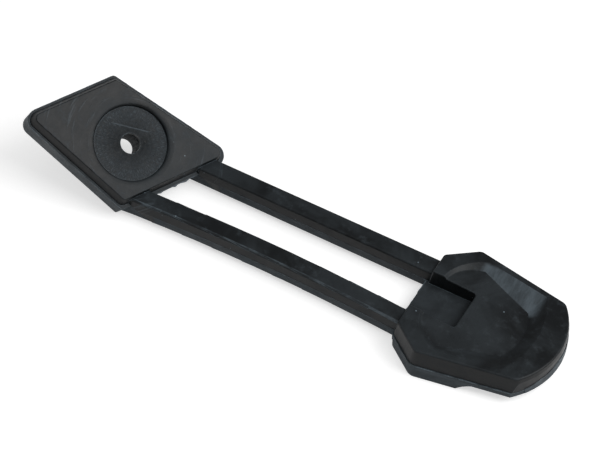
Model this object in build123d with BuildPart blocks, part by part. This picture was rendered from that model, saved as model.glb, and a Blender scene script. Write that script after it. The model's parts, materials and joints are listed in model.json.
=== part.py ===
"""Rubber T draw latch: a one-piece moulded EPDM strap.

A skewed pad with a recessed washer seat is screwed to the door. Two parallel arms join it to an
octagonal pull tab, whose notched crossbar hooks under a keeper on the frame. The user pulls the
tab with a finger in the scoop on its underside and the thumb in the dish on its top.

Frame: millimetres, +X from the pad to the tab, +Z up. The tab and the pad's lower edge rest on
Z = 0. The model is drawn with X = 0 at the top edge of the crossbar, then centred on X.
"""

import os
from math import cos, radians, sin, tan

from build123d import *

# --- Mould -------------------------------------------------------------------------------
PARTING_Z = 5.3          # parting plane of the tab and the arms, above the underside
SOFT_EDGE = 0.7          # radius of the moulded top edges

# --- Pull tab, outline of the top face ---------------------------------------------------
NECK_HALF = 16.5         # half width at the crossbar, X = 0
SHOULDER_X = 9.9         # widest corner
SHOULDER_HALF = 24.1
TIP_X = 43.0             # last corner before the round end
TIP_HALF = 18.0
END_X = 49.7
NECK_RADIUS = 1.2
SHOULDER_RADIUS = 2.4
TIP_RADIUS = 3.4

TAB_ABOVE = 6.2          # top face above the parting plane
TAB_DRAFT = 9.0          # degrees, the walls spread down to the parting plane
TAB_LEDGE = 0.35         # the lower half stands out this far round the upper one
LOWER_DRAFT = 1.5        # degrees, the lower half narrows to the underside
BAR_SHELF = 0.7          # extra reach of the lower half at the crossbar
BAR_SHELF_HALF = 15.2
NOSE_STAND = 0.3         # the round end is almost upright, it stands out only this far

# --- Thumb dish: rim on the top face, floor sloping down to the round end ----------------
# its corners are placed by how far they lie from the tab's own corners
RIM_BAR_X = 4.2
RIM_BAR_IN = 7.9         # inside the neck's half width
RIM_CURVE_X = 7.9
RIM_CURVE_IN = 7.8       # inside the shoulder's half width
RIM_SHOULDER_PAST = 5.1  # beyond the shoulder corner
RIM_SHOULDER_IN = 3.3
RIM_TIP_SHORT = 6.3      # short of the last corner
RIM_TIP_IN = 0.9
RIM_END_BULGE = 4.5
FLOOR_BAR_X = 5.2
FLOOR_BAR_IN = 7.3
FLOOR_CURVE_X = 8.4
FLOOR_CURVE_IN = 9.7
FLOOR_SHOULDER_PAST = 4.5
FLOOR_SHOULDER_IN = 6.3
FLOOR_TIP_SHORT = 9.4
FLOOR_TIP_IN = 7.8
FLOOR_END_BULGE = 2.7
DEPTH_BAR = 0.9          # depth of the floor at the crossbar end
DEPTH_END = 3.0          # depth of the floor at the round end
DISH_TIP_EDGE = 0.8      # radii: between the long and the end facets, round the floor, along the rim
DISH_FLOOR_EDGE = 0.6
DISH_RIM_EDGE = 0.4

# --- Keeper notch, open towards the arms, floor on the parting plane ---------------------
NOTCH_HALF = 7.7
NOTCH_END_X = 15.9
NOTCH_DRAFT = 3.0
NOTCH_RADIUS = 0.8
NOTCH_EDGE = 0.45

# --- Finger scoop under the tab ----------------------------------------------------------
SCOOP_X = 24.6
SCOOP_RUN = 5.0          # length of the scoop's hollow front slope
LIP_BELOW = 1.9          # left standing below the parting plane

# --- Arms --------------------------------------------------------------------------------
ARM_WIDTH = 6.6          # across the top and the bottom
ARM_HALF_HEIGHT = 3.95   # each side of the parting plane
ARM_BULGE = 0.3          # each side wall stands out this far at the parting plane
ARM_SPACING = 24.1       # between centre lines at the tab
FAR_ARM_SPREAD = 1.2     # the +Y arm moves out by this on its way to the pad
NEAR_ARM_SPREAD = -0.9
NEAR_ARM_BOW = 1.9       # the -Y arm has taken a set towards the window, at mid length
ARM_ROOT = 3.0           # the arms run this far into the tab
ARM_EDGE = 0.8

# --- Pad ---------------------------------------------------------------------------------
PAD_REACH = 109.55       # screw hole to the crossbar, along X
PAD_OFFSET_Y = -0.55
PAD_RISE = 36.4          # degrees, the pad's outer end is raised
PAD_SKEW = 26.8          # degrees, the bend lies this far off square to the arms
PAD_LEAN = 28.4          # degrees, the plateau's centre line against its own square
PAD_NEAR = 16.5          # screw hole to the plateau's edge at the bend
PAD_FAR = 21.35          # screw hole to the plateau's outer edge
PAD_NEAR_WIDTH = 40.0
PAD_FAR_WIDTH = 32.4
PAD_ABOVE = 3.5          # plateau above the pad's own parting line
PAD_DRAFT = 20.4         # degrees, the sloping border of the plateau
PAD_LEDGE = 0.75         # the lower half stands out this far
PAD_HEEL = 0.45          # and this much more along the bend
PAD_THICKNESS = 11.6
PAD_ACUTE_RADIUS = 2.0
PAD_OBTUSE_RADIUS = 1.0
PAD_BASE_ACUTE_RADIUS = 4.0
PAD_BASE_OBTUSE_RADIUS = 1.2
PAD_BASE_DRAFT = 2.5     # degrees, the lower half narrows to the back
PAD_EDGE = 0.45
PAD_ROOT = 7.0           # the arms end this far from the screw hole, square to the bend

# --- Seat for an M6 penny washer, and its clearance hole ---------------------------------
WASHER = 25.0
WASHER_CLEARANCE = 0.4
SEAT_DEPTH = 1.5
SEAT_WALL = 0.8          # height of the steep wall, the rest rolls out to the plateau
SEAT_LEAN = 0.25
SEAT_ROLL = 2.1
HOLE = 7.0

# --- Derived -----------------------------------------------------------------------------
TAB_TOP = PARTING_Z + TAB_ABOVE
RIM_BAR_HALF = NECK_HALF - RIM_BAR_IN
RIM_CURVE = (RIM_CURVE_X, SHOULDER_HALF - RIM_CURVE_IN)
RIM_SHOULDER = (SHOULDER_X + RIM_SHOULDER_PAST, SHOULDER_HALF - RIM_SHOULDER_IN)
RIM_TIP = (TIP_X - RIM_TIP_SHORT, TIP_HALF - RIM_TIP_IN)
RIM_END_X = RIM_TIP[0] + RIM_END_BULGE
FLOOR_BAR_HALF = NECK_HALF - FLOOR_BAR_IN
FLOOR_CURVE = (FLOOR_CURVE_X, SHOULDER_HALF - FLOOR_CURVE_IN)
FLOOR_SHOULDER = (SHOULDER_X + FLOOR_SHOULDER_PAST, SHOULDER_HALF - FLOOR_SHOULDER_IN)
FLOOR_TIP = (TIP_X - FLOOR_TIP_SHORT, TIP_HALF - FLOOR_TIP_IN)
FLOOR_END_X = FLOOR_TIP[0] + FLOOR_END_BULGE
NOSE_RADIUS = (TIP_HALF**2 + (END_X - TIP_X) ** 2) / (2 * (END_X - TIP_X))
TAB_GROWTH = TAB_ABOVE * tan(radians(TAB_DRAFT)) + TAB_LEDGE
PAD_GROWTH = PAD_ABOVE * tan(radians(PAD_DRAFT)) + PAD_LEDGE
RISE, SKEW, LEAN = radians(PAD_RISE), radians(PAD_SKEW), radians(PAD_LEAN)
# the height at which the lower edge of the tilted pad just reaches Z = 0
PAD_SHRINK = (PAD_THICKNESS - PAD_ABOVE) * tan(radians(PAD_BASE_DRAFT))
PAD_BACK_NEAR = PAD_NEAR + PAD_GROWTH + PAD_HEEL - PAD_SHRINK
PAD_Z = PAD_BACK_NEAR * sin(RISE) + PAD_THICKNESS * cos(RISE)

to_tab = Vector(cos(SKEW), -sin(SKEW), 0)
down_slope = Vector(cos(SKEW) * cos(RISE), -sin(SKEW) * cos(RISE), -sin(RISE))
pad_normal = Vector(cos(SKEW) * sin(RISE), -sin(SKEW) * sin(RISE), cos(RISE))
pad_centre = Vector(-PAD_REACH, PAD_OFFSET_Y, PAD_Z)
pad_plane = Plane(origin=pad_centre, x_dir=down_slope, z_dir=pad_normal)
arm_cut = Plane(origin=pad_centre + to_tab * PAD_ROOT, z_dir=to_tab)


# --- Outlines ----------------------------------------------------------------------------
with BuildSketch() as tab_outline:
    with BuildLine():
        sides = Polyline(
            (TIP_X, TIP_HALF),
            (SHOULDER_X, SHOULDER_HALF),
            (0, NECK_HALF),
            (0, -NECK_HALF),
            (SHOULDER_X, -SHOULDER_HALF),
            (TIP_X, -TIP_HALF),
        )
        ThreePointArc(sides @ 1, (END_X, 0), sides @ 0)
    make_face()
    for corner_x, radius in ((0, NECK_RADIUS), (SHOULDER_X, SHOULDER_RADIUS), (TIP_X, TIP_RADIUS)):
        corners = tab_outline.vertices().filter_by_position(Axis.X, corner_x - 0.01, corner_x + 0.01)
        fillet(corners, radius)

with BuildSketch() as rim_outline:
    with BuildLine():
        bar = Line((RIM_BAR_X, -RIM_BAR_HALF), (RIM_BAR_X, RIM_BAR_HALF))
        upper = ThreePointArc(bar @ 1, RIM_CURVE, RIM_SHOULDER)
        upper_side = Line(upper @ 1, RIM_TIP)
        end = ThreePointArc(upper_side @ 1, (RIM_END_X, 0), (RIM_TIP[0], -RIM_TIP[1]))
        lower_side = Line(end @ 1, (RIM_SHOULDER[0], -RIM_SHOULDER[1]))
        ThreePointArc(lower_side @ 1, (RIM_CURVE[0], -RIM_CURVE[1]), bar @ 0)
    make_face()

with BuildSketch() as floor_outline:
    with BuildLine():
        bar = Line((FLOOR_BAR_X, -FLOOR_BAR_HALF), (FLOOR_BAR_X, FLOOR_BAR_HALF))
        upper = ThreePointArc(bar @ 1, FLOOR_CURVE, FLOOR_SHOULDER)
        upper_side = Line(upper @ 1, FLOOR_TIP)
        end = ThreePointArc(upper_side @ 1, (FLOOR_END_X, 0), (FLOOR_TIP[0], -FLOOR_TIP[1]))
        lower_side = Line(end @ 1, (FLOOR_SHOULDER[0], -FLOOR_SHOULDER[1]))
        ThreePointArc(lower_side @ 1, (FLOOR_CURVE[0], -FLOOR_CURVE[1]), bar @ 0)
    make_face()


def pad_outline(near, growth, acute_radius, obtuse_radius):
    """The pad's skewed outline, its near edge at x = near, offset outwards by growth."""
    near_mid = near * tan(LEAN)
    far_mid = -PAD_FAR * tan(LEAN)
    with BuildSketch() as outline:
        with BuildLine():
            Polyline(
                (near, near_mid - PAD_NEAR_WIDTH / 2),
                (near, near_mid + PAD_NEAR_WIDTH / 2),
                (-PAD_FAR, far_mid + PAD_FAR_WIDTH / 2),
                (-PAD_FAR, far_mid - PAD_FAR_WIDTH / 2),
                close=True,
            )
        make_face()
        if growth:
            offset(amount=growth, kind=Kind.INTERSECTION)
        corners = outline.vertices().sort_by(Axis.Y)
        fillet([corners[0], corners[3]], acute_radius)
        corners = outline.vertices().sort_by(Axis.Y)
        fillet([corners[2], corners[3]], obtuse_radius)
    return outline.sketch


with BuildSketch() as arm_section:
    with BuildLine():
        Polyline(
            (-ARM_WIDTH / 2, ARM_HALF_HEIGHT),
            (-ARM_WIDTH / 2 - ARM_BULGE, 0),
            (-ARM_WIDTH / 2, -ARM_HALF_HEIGHT),
            (ARM_WIDTH / 2, -ARM_HALF_HEIGHT),
            (ARM_WIDTH / 2 + ARM_BULGE, 0),
            (ARM_WIDTH / 2, ARM_HALF_HEIGHT),
            close=True,
        )
    make_face()
    rims = arm_section.vertices().group_by(Axis.Y)
    fillet(rims[0] + rims[-1], ARM_EDGE)


# --- Thumb dish, as the solid that is cut out of the tab ---------------------------------
fall = (DEPTH_END - DEPTH_BAR) / (FLOOR_END_X - FLOOR_BAR_X)
floor_start = Vector(0, 0, TAB_TOP - DEPTH_BAR + fall * FLOOR_BAR_X)
with BuildPart() as dish:
    with BuildSketch(Plane.XY.offset(TAB_TOP)):
        add(rim_outline.sketch)
    with BuildSketch(Plane(origin=floor_start, x_dir=(1, 0, -fall), z_dir=(fall, 0, 1))):
        add(floor_outline.sketch)
    loft(ruled=True)
    on_rim = dish.edges().filter_by(lambda e: e.bounding_box().max.Z > TAB_TOP - 0.01)
    wall_corners = on_rim.filter_by(lambda e: e.bounding_box().min.Z < TAB_TOP - DEPTH_BAR / 2)
    fillet(wall_corners.sort_by(Axis.X)[-2:], DISH_TIP_EDGE)
    fillet(dish.faces().sort_by(Axis.Z)[0].edges(), DISH_FLOOR_EDGE)

# --- Pull tab ----------------------------------------------------------------------------
with BuildPart() as tab:
    with BuildSketch(Plane.XY.offset(TAB_TOP)):
        add(tab_outline.sketch)
    extrude(amount=-TAB_ABOVE, taper=-TAB_DRAFT)
    fillet(tab.faces().sort_by(Axis.Z)[-1].edges(), SOFT_EDGE)

    # lower half, one ledge wider, and the shelf along the crossbar
    with BuildSketch(Plane.XY.offset(PARTING_Z)):
        add(tab_outline.sketch)
        offset(amount=TAB_GROWTH, kind=Kind.ARC)
    extrude(amount=-PARTING_Z, taper=LOWER_DRAFT)
    with BuildSketch(Plane.XY.offset(PARTING_Z)):
        with Locations((-TAB_GROWTH - BAR_SHELF, 0)):
            Rectangle(TAB_GROWTH + 2 * BAR_SHELF, 2 * BAR_SHELF_HALF, align=(Align.MIN, Align.CENTER))
    extrude(amount=-PARTING_Z)

    # trim the round end to its upright wall
    with BuildSketch():
        with Locations((TIP_X - 4, 0)):
            Rectangle(20, 3 * TIP_HALF, align=(Align.MIN, Align.CENTER))
        with Locations((END_X - NOSE_RADIUS, 0)):
            Circle(NOSE_RADIUS + NOSE_STAND, mode=Mode.SUBTRACT)
    extrude(amount=TAB_TOP, mode=Mode.SUBTRACT)

    # finger scoop: a hollow slope and a flat ceiling that runs out under the round end
    ceiling = PARTING_Z - LIP_BELOW
    with BuildSketch(Plane.XZ) as scoop:
        with BuildLine():
            slope = ThreePointArc(
                (SCOOP_X, 0), (SCOOP_X + SCOOP_RUN * 0.45, ceiling * 0.58), (SCOOP_X + SCOOP_RUN, ceiling)
            )
            Polyline(slope @ 1, (END_X + 10, ceiling), (END_X + 10, -1), (SCOOP_X, -1), slope @ 0)
        make_face()
    extrude(amount=SHOULDER_HALF + 10, both=True, mode=Mode.SUBTRACT)

    # thumb dish
    add(dish.part, mode=Mode.SUBTRACT)
    fillet(tab.edges(Select.LAST).group_by(Axis.Z)[-1], DISH_RIM_EDGE)

    # keeper notch, through the crossbar and the dish's shallow end
    with BuildSketch(Plane.XY.offset(PARTING_Z)) as notch:
        with Locations((NOTCH_END_X, 0)):
            Rectangle(NOTCH_END_X + 10, 2 * NOTCH_HALF, align=(Align.MAX, Align.CENTER))
        fillet(notch.vertices().group_by(Axis.X)[-1], NOTCH_RADIUS)
    extrude(amount=TAB_ABOVE + 1, taper=-NOTCH_DRAFT, mode=Mode.SUBTRACT)
    mouth = tab.edges(Select.LAST).filter_by(lambda e: e.bounding_box().min.Z > PARTING_Z + 1)
    fillet(mouth.filter_by(lambda e: e.center().X > FLOOR_BAR_X), NOTCH_EDGE)

# --- Pad ---------------------------------------------------------------------------------
with BuildPart() as pad:
    with BuildSketch(pad_plane):
        add(pad_outline(PAD_NEAR, 0, PAD_ACUTE_RADIUS, PAD_OBTUSE_RADIUS))
    extrude(amount=-PAD_ABOVE, taper=-PAD_DRAFT)
    fillet(pad.faces().sort_by(Axis(pad_centre, pad_normal))[-1].edges(), PAD_EDGE)
    with BuildSketch(pad_plane.offset(-PAD_ABOVE)):
        base_near = PAD_NEAR + PAD_HEEL
        add(pad_outline(base_near, PAD_GROWTH, PAD_BASE_ACUTE_RADIUS, PAD_BASE_OBTUSE_RADIUS))
    extrude(amount=-(PAD_THICKNESS - PAD_ABOVE), taper=PAD_BASE_DRAFT)

    # washer seat: flat floor, steep wall, then a roll out to the plateau
    seat_radius = (WASHER + WASHER_CLEARANCE) / 2
    with BuildSketch(Plane(origin=pad_centre, x_dir=down_slope, z_dir=down_slope.cross(pad_normal))):
        with BuildLine():
            wall = Line((seat_radius, -SEAT_DEPTH), (seat_radius + SEAT_LEAN, SEAT_WALL - SEAT_DEPTH))
            roll = Bezier(wall @ 1, (seat_radius + SEAT_LEAN, 0), (seat_radius + SEAT_ROLL, 0))
            Polyline(wall @ 0, (0, -SEAT_DEPTH), (0, 1), (seat_radius + SEAT_ROLL, 1), roll @ 1)
        make_face()
    revolve(axis=Axis(pad_centre, pad_normal), mode=Mode.SUBTRACT)
    with Locations(pad_plane):
        Hole(HOLE / 2)

# --- Arms --------------------------------------------------------------------------------
# Both start inside the tab and stop in the pad, on a plane parallel to the bend.
arm_end_x = -PAD_REACH
with BuildPart() as far_arm:
    with BuildLine() as far_path:
        Line(
            (ARM_ROOT, ARM_SPACING / 2, PARTING_Z),
            (arm_end_x, ARM_SPACING / 2 + FAR_ARM_SPREAD, PARTING_Z),
        )
    with BuildSketch(Plane(origin=far_path.line @ 0, x_dir=(0, 1, 0), z_dir=far_path.line % 0)):
        add(arm_section.sketch)
    sweep()
    split(bisect_by=arm_cut, keep=Keep.TOP)

with BuildPart() as near_arm:
    with BuildLine() as near_path:
        ThreePointArc(
            (ARM_ROOT, -ARM_SPACING / 2, PARTING_Z),
            (arm_end_x / 2, -(ARM_SPACING + NEAR_ARM_SPREAD) / 2 + NEAR_ARM_BOW, PARTING_Z),
            (arm_end_x, -ARM_SPACING / 2 - NEAR_ARM_SPREAD, PARTING_Z),
        )
    with BuildSketch(Plane(origin=near_path.line @ 0, x_dir=(0, 1, 0), z_dir=near_path.line % 0)):
        add(arm_section.sketch)
    sweep()
    split(bisect_by=arm_cut, keep=Keep.TOP)

# --- The moulding ------------------------------------------------------------------------
with BuildPart() as moulding:
    add(tab.part)
    add(far_arm.part)
    add(near_arm.part)
    add(pad.part)

box = moulding.part.bounding_box()
with BuildPart() as latch_strap:
    with Locations((-box.center().X, 0, 0)):
        add(moulding.part)

latch_strap.part.label = "latch_strap"
os.makedirs("parts", exist_ok=True)
export_step(latch_strap.part, "parts/latch_strap.step")
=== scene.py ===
"""Looks for the rubber T draw latch: materials, moulding flash, studio light and the camera."""

import json
import math

import bmesh
import bpy
from mathutils import Matrix, Vector, noise
from mathutils.bvhtree import BVHTree


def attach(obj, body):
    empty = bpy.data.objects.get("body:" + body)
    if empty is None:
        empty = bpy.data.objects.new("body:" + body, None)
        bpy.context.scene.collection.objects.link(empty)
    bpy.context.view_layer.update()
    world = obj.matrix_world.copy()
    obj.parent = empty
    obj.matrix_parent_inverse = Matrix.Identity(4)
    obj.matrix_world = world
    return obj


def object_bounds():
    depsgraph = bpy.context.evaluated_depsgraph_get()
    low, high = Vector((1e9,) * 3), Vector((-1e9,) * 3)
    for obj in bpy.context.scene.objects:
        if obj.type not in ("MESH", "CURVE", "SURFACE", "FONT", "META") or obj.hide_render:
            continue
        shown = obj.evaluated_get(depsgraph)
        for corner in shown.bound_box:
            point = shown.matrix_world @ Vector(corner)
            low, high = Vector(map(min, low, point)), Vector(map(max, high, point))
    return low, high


MM = 0.001
SEAT_DEPTH = 1.5 * MM        # the pad's flat face above the washer seat
PAD_PARTING = 3.52 * MM      # the pad's parting line below its flat face
PARTING_Z = 5.3 * MM         # parting line of the tab and the arms, above the underside
PARTING_DROP = 0.02 * MM     # the flash sits this far below it, on the wider half
TAB_REACH = 50.0 * MM        # the round end past the crossbar's edge
NOSE_RADIUS = 27.829 * MM    # the round end
NOSE_ARCH = 1.9 * MM         # how far its seam rises at the middle
NOSE_HALF = 17 * MM          # and the half width over which it falls back

# the scuff on the pad, in the pad's own frame: direction (across, down), start, end, offset
SCUFF_ACROSS, SCUFF_DOWN = 0.798, 0.603
SCUFF_START, SCUFF_END, SCUFF_OFFSET = -8.25 * MM, 5.93 * MM, 5.38 * MM

WORLD_LEVEL = 0.2
FLOOR_TONE = 0.72
FLOOR_LIFT = 0.58            # added for the camera alone, so that the floor reads as white
EYE = Vector((224.38, -423.87, 560.63)) * MM
EYE_AZIMUTH, EYE_ELEVATION, EYE_ROLL = 27.70, 48.70, 2.357

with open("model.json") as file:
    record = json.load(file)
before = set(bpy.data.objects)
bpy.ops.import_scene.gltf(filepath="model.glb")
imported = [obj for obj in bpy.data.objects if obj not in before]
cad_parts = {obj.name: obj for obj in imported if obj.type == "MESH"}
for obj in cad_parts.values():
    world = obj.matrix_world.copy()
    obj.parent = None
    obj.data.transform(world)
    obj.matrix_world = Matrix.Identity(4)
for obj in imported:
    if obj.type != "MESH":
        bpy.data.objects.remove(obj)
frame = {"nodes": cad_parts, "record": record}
cad_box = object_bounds()
strap = frame["nodes"]["latch_strap"]
mounts = {m["name"]: m for m in frame["record"]["mounts"]}

# ---------------------------------------------------------------- the pad's own frame
hole = mounts["screw_hole"]
pad_normal = Vector(hole["axis"]).normalized()
seat_centre = Vector(hole["pos_m"]) + pad_normal * hole["dims"]["length_mm"] / 2 * MM
plateau_centre = seat_centre + pad_normal * SEAT_DEPTH
to_tab = Vector((pad_normal.x, pad_normal.y, 0)).normalized()
pad_across = pad_normal.cross(to_tab).normalized()
pad_down = pad_across.cross(pad_normal)

# the crossbar's edge and the centre of the round end
bar_x = cad_box[1][0] - TAB_REACH
nose_centre_x = bar_x + TAB_REACH - NOSE_RADIUS


# ---------------------------------------------------------------- shader helpers
class Shader:
    """Short calls for building a node tree."""

    def __init__(self, name):
        self.material = bpy.data.materials.new(name)
        self.material.use_nodes = True
        self.tree = self.material.node_tree
        self.bsdf = self.tree.nodes["Principled BSDF"]
        self.place = self.new("ShaderNodeTexCoord").outputs["Object"]

    def new(self, kind, **settings):
        node = self.tree.nodes.new(kind)
        for key, value in settings.items():
            setattr(node, key, value)
        return node

    def put(self, socket, value):
        if isinstance(value, bpy.types.NodeSocket):
            self.tree.links.new(value, socket)
        else:
            socket.default_value = value

    def math(self, operation, a, b=0.0, c=0.0, clamp=False):
        node = self.new("ShaderNodeMath", operation=operation, use_clamp=clamp)
        for socket, value in zip(node.inputs, (a, b, c)):
            self.put(socket, value)
        return node.outputs[0]

    def ramp(self, value, low, high, out_low=0.0, out_high=1.0, smooth=True):
        node = self.new("ShaderNodeMapRange", clamp=True)
        node.interpolation_type = "SMOOTHSTEP" if smooth else "LINEAR"
        for key, item in (("Value", value), ("From Min", low), ("From Max", high)):
            self.put(node.inputs[key], item)
        self.put(node.inputs["To Min"], out_low)
        self.put(node.inputs["To Max"], out_high)
        return node.outputs[0]

    def along(self, point, direction):
        """How far the shaded point is from a point, along a direction, in metres."""
        shift = self.new("ShaderNodeVectorMath", operation="SUBTRACT")
        self.put(shift.inputs[0], self.place)
        self.put(shift.inputs[1], tuple(point))
        dot = self.new("ShaderNodeVectorMath", operation="DOT_PRODUCT")
        self.put(dot.inputs[0], shift.outputs[0])
        self.put(dot.inputs[1], tuple(direction))
        return dot.outputs["Value"]

    def split(self):
        node = self.new("ShaderNodeSeparateXYZ")
        self.put(node.inputs[0], self.place)
        return node.outputs

    def noise_at(self, place, scale, detail=3.0, rough=0.55, distortion=0.0):
        node = self.new("ShaderNodeTexNoise")
        self.put(node.inputs["Vector"], place)
        node.inputs["Scale"].default_value = scale
        node.inputs["Detail"].default_value = detail
        node.inputs["Roughness"].default_value = rough
        node.inputs["Distortion"].default_value = distortion
        return node.outputs["Fac"]

    def noise(self, scale, detail=3.0, rough=0.55, stretch=None, distortion=0.0):
        place = self.place
        if stretch:
            mapping = self.new("ShaderNodeMapping")
            self.put(mapping.inputs["Vector"], place)
            self.put(mapping.inputs["Scale"], stretch)
            place = mapping.outputs[0]
        return self.noise_at(place, scale, detail, rough, distortion)

    def mix(self, fac, a, b):
        node = self.new("ShaderNodeMix", data_type="RGBA")
        self.put(node.inputs["Factor"], fac)
        self.put(node.inputs["A"], a)
        self.put(node.inputs["B"], b)
        return node.outputs["Result"]


def colour(r, g, b):
    """An sRGB colour, 0 to 255, as the linear colour a socket takes."""
    def linear(v):
        v = v / 255
        return v / 12.92 if v <= 0.04045 else ((v + 0.055) / 1.055) ** 2.4
    return (linear(r), linear(g), linear(b), 1.0)


# ---------------------------------------------------------------- rubber
def rubber_material(name, lift=1.0):
    """Moulded black rubber: cloudy bloom, paler lower mould half, specks, painted highlights on the edges,
    painted shade on the upper walls, a painted highlight on the dish's facet.
    """
    m = Shader(name)

    def tone(v):
        """A grey with a cold tinge; its green is v."""
        return colour(v * 0.90 * lift, v * lift, v * 1.07 * lift)

    x, y, z = m.split()
    depth = m.along(plateau_centre, pad_normal)
    across = m.along(seat_centre, pad_across)
    down = m.along(seat_centre, pad_down)
    reach = m.along(seat_centre, to_tab)
    in_pad = m.ramp(reach, 20.5 * MM, 22.5 * MM, 1.0, 0.0)
    radius = m.math("SQRT", m.math("ADD", m.math("POWER", across, 2.0), m.math("POWER", down, 2.0)))
    angle = m.math("ARCTAN2", across, down)

    # cloudy bloom over the whole moulding
    clouds = m.noise(48, 4.0, 0.62, distortion=0.6)
    mottle = m.noise(260, 5.0, 0.7)
    grain = m.noise(1900, 3.0, 0.6)
    body = m.mix(m.ramp(clouds, 0.36, 0.66), tone(26), tone(47))
    body = m.mix(m.math("MULTIPLY", m.ramp(mottle, 0.52, 0.72), 0.5), body, tone(66))
    body = m.mix(m.math("MULTIPLY", m.ramp(grain, 0.55, 0.75), 0.4), body, tone(18))

    # the lower mould half is paler and duller
    below_tab = m.ramp(z, PARTING_Z - 0.10 * MM, PARTING_Z + 0.05 * MM, 1.0, 0.0)
    below_pad = m.ramp(depth, -3.62 * MM, -3.42 * MM, 1.0, 0.0)
    lower = m.math("ADD", m.math("MULTIPLY", below_pad, in_pad),
                   m.math("MULTIPLY", below_tab, m.math("SUBTRACT", 1.0, in_pad)), clamp=True)

    # the seam that arches over the round end, with a painted shadow line above it
    on_nose = m.ramp(x, bar_x + 44.5 * MM, bar_x + 45 * MM)
    fall = m.math("MULTIPLY", m.math("POWER", y, 2.0), NOSE_ARCH / NOSE_HALF**2)
    arch = m.math("SUBTRACT", z, m.math("SUBTRACT", PARTING_Z + NOSE_ARCH, fall))
    under_arch = m.ramp(arch, -0.05 * MM, 0.02 * MM, 1.0, 0.0)
    lower = m.math("MAXIMUM", lower, m.math("MULTIPLY", on_nose, under_arch))
    seam_shadow_line = m.math("MULTIPLY", on_nose, m.math("MULTIPLY", m.ramp(arch, 0.0, 0.06 * MM),
                                                m.ramp(arch, 0.30 * MM, 0.55 * MM, 1.0, 0.0)))
    walls = m.new("ShaderNodeSeparateXYZ")
    m.put(walls.inputs[0], m.new("ShaderNodeNewGeometry").outputs["True Normal"])
    steep = m.ramp(m.math("ABSOLUTE", walls.outputs[2]), 0.30, 0.62, 1.0, 0.0)
    # noise that breaks the paler lower mould half into patches
    lower_pale_patches = m.ramp(m.noise(420, 4.0, 0.65, stretch=(0.35, 0.35, 1.0)), 0.35, 0.7, 0.45, 1.0)
    body = m.mix(m.math("MULTIPLY", lower, lower_pale_patches), body, tone(74))
    # painted shade: steep walls of the upper mould half are darkened towards tone 12, by the direction of
    # their normal
    painted_wall_shade = m.math("MULTIPLY", steep, m.math("SUBTRACT", 1.0, lower))
    body = m.mix(m.math("MULTIPLY", painted_wall_shade, 0.75), body, tone(12))
    # painted shadow: a dark line just above the arched seam
    body = m.mix(seam_shadow_line, body, tone(7))

    # painted highlight on the dish's +Y facet, which faces -Y and up, in streaks that run down it
    facing = m.math("MULTIPLY", m.ramp(m.math("MULTIPLY", walls.outputs[1], -1.0), 0.12, 0.22),
                    m.ramp(walls.outputs[2], 0.55, 0.70))
    in_length = m.math("MULTIPLY", m.ramp(x, bar_x + 12 * MM, bar_x + 15 * MM),
                       m.ramp(x, bar_x + 35 * MM, bar_x + 38 * MM, 1.0, 0.0))
    in_width = m.math("MULTIPLY", m.ramp(y, 8 * MM, 10 * MM), m.ramp(y, 19.5 * MM, 20.8 * MM, 1.0, 0.0))
    facet_highlight = m.math("MULTIPLY", facing, m.math("MULTIPLY", in_length, in_width))
    highlight_streaks = m.ramp(m.noise(260, 4.0, 0.7, stretch=(1.0, 0.3, 0.3)), 0.3, 0.7, 0.35, 1.0)
    body = m.mix(m.math("MULTIPLY", facet_highlight, highlight_streaks), body, tone(94))

    # radial marks of the turned seat insert, paler towards the rim
    turn = m.new("ShaderNodeCombineXYZ")
    m.put(turn.inputs[0], m.math("MULTIPLY", angle, 44.0))
    m.put(turn.inputs[1], m.math("MULTIPLY", radius, 420.0))
    hatch = m.ramp(m.noise_at(turn.outputs[0], 1.6, 3.0, 0.7), 0.45, 0.62)
    on_seat = m.math("MULTIPLY", m.ramp(radius, 12.3 * MM, 12.9 * MM, 1.0, 0.0),
                     m.ramp(depth, -1.3 * MM, -1.1 * MM, 1.0, 0.0))
    rim_glow = m.ramp(radius, 4 * MM, 12 * MM, 0.3, 1.0)
    body = m.mix(m.math("MULTIPLY", on_seat, 0.45), body, tone(24))
    body = m.mix(m.math("MULTIPLY", m.math("MULTIPLY", on_seat, hatch), rim_glow), body, tone(82))

    # curved flow marks round the seat
    flow = m.new("ShaderNodeCombineXYZ")
    m.put(flow.inputs[0], m.math("MULTIPLY", radius, 950.0))
    m.put(flow.inputs[1], m.math("MULTIPLY", angle, 1.8))
    rings = m.ramp(m.noise_at(flow.outputs[0], 1.0, 3.0, 0.6), 0.56, 0.68)
    on_border = m.math("MULTIPLY", m.ramp(radius, 14.5 * MM, 15.5 * MM), in_pad)
    body = m.mix(m.math("MULTIPLY", m.math("MULTIPLY", rings, on_border), 0.45), body, tone(80))

    # a scuff across the seat
    run = m.math("ADD", m.math("MULTIPLY", across, SCUFF_ACROSS), m.math("MULTIPLY", down, SCUFF_DOWN))
    aside = m.math("SUBTRACT", m.math("MULTIPLY", across, SCUFF_DOWN), m.math("MULTIPLY", down, SCUFF_ACROSS))
    side = m.math("ABSOLUTE", m.math("SUBTRACT", aside, SCUFF_OFFSET))
    near_line = m.ramp(side, 0.10 * MM, 0.32 * MM, 1.0, 0.0)
    in_run = m.math("MULTIPLY", m.ramp(run, SCUFF_START, SCUFF_START + 1 * MM),
                    m.ramp(run, SCUFF_END - 1 * MM, SCUFF_END, 1.0, 0.0))
    scuff = m.math("MULTIPLY", m.math("MULTIPLY", near_line, in_run), in_pad)
    body = m.mix(m.math("MULTIPLY", scuff, m.ramp(mottle, 0.35, 0.6, 0.2, 0.7)), body, tone(92))

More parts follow.
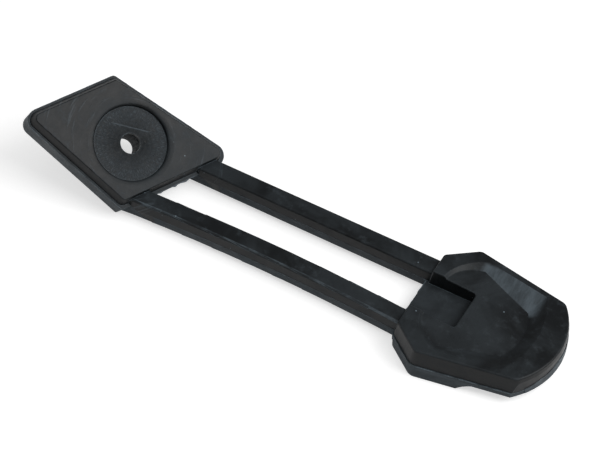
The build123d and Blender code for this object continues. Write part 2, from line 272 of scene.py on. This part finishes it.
    # painted highlight on the edges, from the difference between the rounded and the flat normal
    bevel = m.new("ShaderNodeBevel", samples=6)
    bevel.inputs["Radius"].default_value = 0.55 * MM
    turned = m.new("ShaderNodeVectorMath", operation="DOT_PRODUCT")
    m.put(turned.inputs[0], bevel.outputs[0])
    m.put(turned.inputs[1], m.new("ShaderNodeNewGeometry").outputs["True Normal"])
    edge = m.ramp(turned.outputs["Value"], 0.90, 0.995, 1.0, 0.0)
    edge_highlight = m.math("MULTIPLY", edge, m.ramp(m.noise(170, 3.0, 0.6), 0.36, 0.66, 0.12, 0.62))
    body = m.mix(edge_highlight, body, tone(112))

    # dust specks
    specks = m.new("ShaderNodeTexVoronoi")
    m.put(specks.inputs["Vector"], m.place)
    specks.inputs["Scale"].default_value = 420
    rare = m.new("ShaderNodeSeparateColor")
    m.put(rare.inputs[0], specks.outputs["Color"])
    dot = m.math("MULTIPLY", m.ramp(specks.outputs["Distance"], 0.06, 0.13, 1.0, 0.0),
                 m.ramp(rare.outputs[0], 0.93, 0.95))
    body = m.mix(m.math("MULTIPLY", dot, 0.7), body, tone(150))
    m.put(m.bsdf.inputs["Base Color"], body)

    # finish: satin on the upper half, dull below and where the bloom is thick
    rough = m.math("ADD", m.ramp(clouds, 0.3, 0.7, 0.34, 0.50), m.math("MULTIPLY", lower, 0.22))
    rough = m.math("ADD", rough, m.math("MULTIPLY", m.ramp(mottle, 0.4, 0.7), 0.08), clamp=True)
    m.put(m.bsdf.inputs["Roughness"], rough)
    m.bsdf.inputs["Specular IOR Level"].default_value = 0.21

    # relief: pulled skin, fine grain, the seat's marks
    height = m.math("ADD", m.math("MULTIPLY", m.noise(140, 3.0, 0.5), 0.10),
                    m.math("MULTIPLY", m.noise(900, 4.0, 0.65), 0.035))
    height = m.math("ADD", height, m.math("MULTIPLY", m.math("MULTIPLY", on_seat, hatch), 0.05))
    height = m.math("ADD", height, m.math("MULTIPLY", m.math("MULTIPLY", on_border, rings), 0.03))
    height = m.math("SUBTRACT", height, m.math("MULTIPLY", scuff, 0.05))
    bump = m.new("ShaderNodeBump")
    bump.inputs["Distance"].default_value = 1.0 * MM
    bump.inputs["Strength"].default_value = 0.8
    m.put(bump.inputs["Height"], height)
    m.put(m.bsdf.inputs["Normal"], bump.outputs[0])
    return m.material


strap.data.materials.clear()
strap.data.materials.append(rubber_material("rubber"))

# ---------------------------------------------------------------- flash of the mould
skin_material = rubber_material("rubber_flash", 1.15)
skin = BVHTree.FromPolygons([v.co for v in strap.data.vertices], [p.vertices for p in strap.data.polygons])


def ring_points(origin, normal):
    """Where a plane cuts the moulding: lists of points, each in order round one outline."""
    cut = bmesh.new()
    cut.from_mesh(strap.data)
    found = bmesh.ops.bisect_plane(cut, geom=cut.verts[:] + cut.edges[:] + cut.faces[:],
                                   plane_co=origin, plane_no=normal, clear_inner=True)
    edges = {e for e in found["geom_cut"] if isinstance(e, bmesh.types.BMEdge)}
    loops = []
    while edges:
        edge = min(edges, key=lambda e: tuple(e.verts[0].co) + tuple(e.verts[1].co))
        edges.remove(edge)
        chain = [edge.verts[0], edge.verts[1]]
        while True:
            step = next((e for e in chain[-1].link_edges if e in edges), None)
            if step is None:
                break
            edges.remove(step)
            chain.append(step.other_vert(chain[-1]))
        loops.append([v.co.copy() for v in chain])
    cut.free()
    return loops


def resample(points, step):
    """Points evenly spaced along a polyline."""
    out, left = [points[0].copy()], step
    for a, b in zip(points, points[1:]):
        length = (b - a).length
        while length >= left and length > 0:
            a = a.lerp(b, left / length)
            out.append(a.copy())
            length, left = (b - a).length, step
        left -= length
    return out


def fin(mesh, points, normal, width, thick, inward=0.08 * MM):
    """A thin ragged fin that stands out from an outline; width(point, out) may return 0."""
    rows = []
    count = len(points)
    outs = []
    for i in range(count):
        tangent = points[min(i + 1, count - 1)] - points[max(i - 1, 0)]
        outs.append(tangent.normalized().cross(normal).normalized())
    faces_out = sum(out.dot(skin.find_nearest(p)[1]) for p, out in zip(points, outs))
    for p, out in zip(points, outs):
        if out.length < 0.5:
            continue
        if faces_out < 0:
            out = -out
        w = width(p, out)
        if w <= 0:
            rows.append(None)
            continue
        half = normal * thick / 2
        tip = p + out * w
        inside = p - out * inward
        section = (inside + half, tip + half * 0.3, tip - half * 0.3, inside - half)
        rows.append([mesh.verts.new(v) for v in section])
    for one, two in zip(rows, rows[1:]):
        if one is None or two is None:
            continue
        for k in range(4):
            mesh.faces.new((one[k], one[(k + 1) % 4], two[(k + 1) % 4], two[k]))
    for before, row, after in zip([None] + rows[:-1], rows, rows[1:] + [None]):
        if row is not None and (before is None) != (after is None):
            mesh.faces.new(row)


def ragged(p, scale, seed):
    """Smooth noise from 0 to 1 at a point."""
    return 0.5 + 0.5 * noise.noise(p * scale + Vector((seed, seed * 0.7, -seed)))


def keep_piece(name, mesh):
    """Turns the faces made so far into one piece of the moulding."""
    for v in [v for v in mesh.verts if not v.link_faces]:
        mesh.verts.remove(v)
    bmesh.ops.recalc_face_normals(mesh, faces=mesh.faces)
    data = bpy.data.meshes.new(name)
    mesh.to_mesh(data)
    mesh.free()
    piece = bpy.data.objects.new(name, data)
    bpy.context.scene.collection.objects.link(piece)
    data.materials.append(skin_material)
    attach(piece, "root")


def seam_width(p, out):
    """Flash of the main parting line: none where the arms bend up, most beside the crossbar."""
    if p.x < bar_x - 78 * MM:
        return 0
    r = ragged(p, 420, 3.1)
    w = (0.05 + 0.22 * max(0, r - 0.35)) * MM
    if abs(p.x - bar_x) < 3 * MM:
        w += 0.5 * max(0, r - 0.42) * MM
    return w


parting = Vector((0, 0, 1))
seam = bmesh.new()
for loop in ring_points(Vector((0, 0, PARTING_Z - PARTING_DROP)), parting):
    even = resample(loop, 0.35 * MM)
    if len(even) > 20:
        fin(seam, even, parting, seam_width, 0.14 * MM)
keep_piece("seam_flash", seam)

# the raised seam on the round end: a lip that follows the arch
lip = bmesh.new()
columns = []
for i in range(121):
    y = (i / 60 - 1) * 15.6 * MM
    reach_out = math.sqrt(NOSE_RADIUS**2 - y * y) / NOSE_RADIUS
    outward = Vector((reach_out, y / NOSE_RADIUS, 0))
    top = PARTING_Z + NOSE_ARCH * (1 - (y / NOSE_HALF) ** 2)
    proud = (0.16 + 0.10 * ragged(Vector((0, y, 0)), 700, 1.7)) * MM
    foot = PARTING_Z - 1.7 * MM
    profile = [(-0.05 * MM, top + 0.10 * MM), (proud, top), (proud, foot), (-0.05 * MM, foot - 0.05 * MM)]
    base = Vector((nose_centre_x, 0, 0)) + outward * NOSE_RADIUS
    columns.append([lip.verts.new(base + outward * d + Vector((0, 0, height))) for d, height in profile])
for one, two in zip(columns, columns[1:]):
    for k in range(4):
        lip.faces.new((one[k], one[(k + 1) % 4], two[(k + 1) % 4], two[k]))
lip.faces.new(columns[0])
lip.faces.new(columns[-1])
keep_piece("nose_seam", lip)


def pad_flash_width(p, out):
    """Ragged flash on the pad's near wall, between the arms, and a fringe round the hole."""
    rel = p - seat_centre
    sideways = rel.dot(pad_across)
    if rel.length < 6 * MM:
        return (0.05 + 0.35 * max(0, ragged(p, 900, 9.0) - 0.4)) * MM
    if rel.dot(to_tab) > 10 * MM and abs(sideways) < 14 * MM and out.dot(to_tab) > 0.6:
        return (0.15 + 1.5 * max(0, ragged(p, 520, 5.5) - 0.42)) * MM
    return (0.04 + 0.16 * max(0, ragged(p, 520, 5.5) - 0.4)) * MM


border = bmesh.new()
for loop in ring_points(plateau_centre - pad_normal * PAD_PARTING, pad_normal):
    even = resample(loop, 0.3 * MM)
    if len(even) > 20:
        fin(border, even, pad_normal, pad_flash_width, 0.12 * MM)
keep_piece("pad_flash", border)

# ---------------------------------------------------------------- floor
bpy.ops.mesh.primitive_plane_add(size=6, location=(0, 0, -0.00005))
floor = bpy.context.object
floor.name = "floor"
pale = Shader("floor")
pale.bsdf.inputs["Base Color"].default_value = (FLOOR_TONE, FLOOR_TONE, FLOOR_TONE, 1)
pale.bsdf.inputs["Roughness"].default_value = 0.9
pale.bsdf.inputs["Specular IOR Level"].default_value = 0.1
seen = pale.new("ShaderNodeLightPath")
direct = pale.math("MAXIMUM", seen.outputs["Is Camera Ray"], seen.outputs["Is Glossy Ray"])
direct = pale.math("MAXIMUM", direct, seen.outputs["Is Transmission Ray"])
pale.bsdf.inputs["Emission Color"].default_value = (1, 1, 1, 1)
pale.put(pale.bsdf.inputs["Emission Strength"], pale.math("MULTIPLY", direct, FLOOR_LIFT))
floor.data.materials.append(pale.material)

# ---------------------------------------------------------------- light
world = bpy.data.worlds.new("studio")
bpy.context.scene.world = world
world.use_nodes = True
sky = world.node_tree.nodes["Background"]
sky.inputs["Color"].default_value = (1, 1, 1, 1)
sky.inputs["Strength"].default_value = WORLD_LEVEL


def softbox(name, azimuth, elevation, distance, size, power):
    """A square lamp aimed at the object, seen from it at this azimuth (0 = -Y, 90 = +X)."""
    a, e = math.radians(azimuth), math.radians(elevation)
    toward = Vector((math.sin(a) * math.cos(e), -math.cos(a) * math.cos(e), math.sin(e)))
    lamp = bpy.data.lights.new(name, "AREA")
    lamp.shape = "SQUARE"
    lamp.size = size
    lamp.energy = power
    holder = bpy.data.objects.new(name, lamp)
    bpy.context.scene.collection.objects.link(holder)
    holder.location = toward * distance
    holder.rotation_euler = toward.to_track_quat("Z", "Y").to_euler()


softbox("key", 98, 47, 1.2, 0.8, 9.6)
softbox("top", 20, 85, 1.2, 0.8, 1.5)
softbox("left", 290, 25, 1.2, 0.7, 1.8)

# ---------------------------------------------------------------- camera
camera = bpy.data.cameras.new("camera")
camera.lens = 133.0
camera.sensor_width = 36
camera.clip_start = 0.01
camera.clip_end = 20
eye = bpy.data.objects.new("camera", camera)
bpy.context.scene.collection.objects.link(eye)
eye.location = EYE
azimuth, elevation, roll = map(math.radians, (EYE_AZIMUTH, EYE_ELEVATION, EYE_ROLL))
back = Vector(
    (math.sin(azimuth) * math.cos(elevation), -math.cos(azimuth) * math.cos(elevation), math.sin(elevation))
)
right = Vector((math.cos(azimuth), math.sin(azimuth), 0))
up = back.cross(right)
rolled_right = right * math.cos(roll) + up * math.sin(roll)
rolled_up = up * math.cos(roll) - right * math.sin(roll)
eye.rotation_euler = Matrix((rolled_right, rolled_up, back)).transposed().to_euler()
bpy.context.scene.camera = eye
bpy.context.scene.view_settings.view_transform = "Standard"
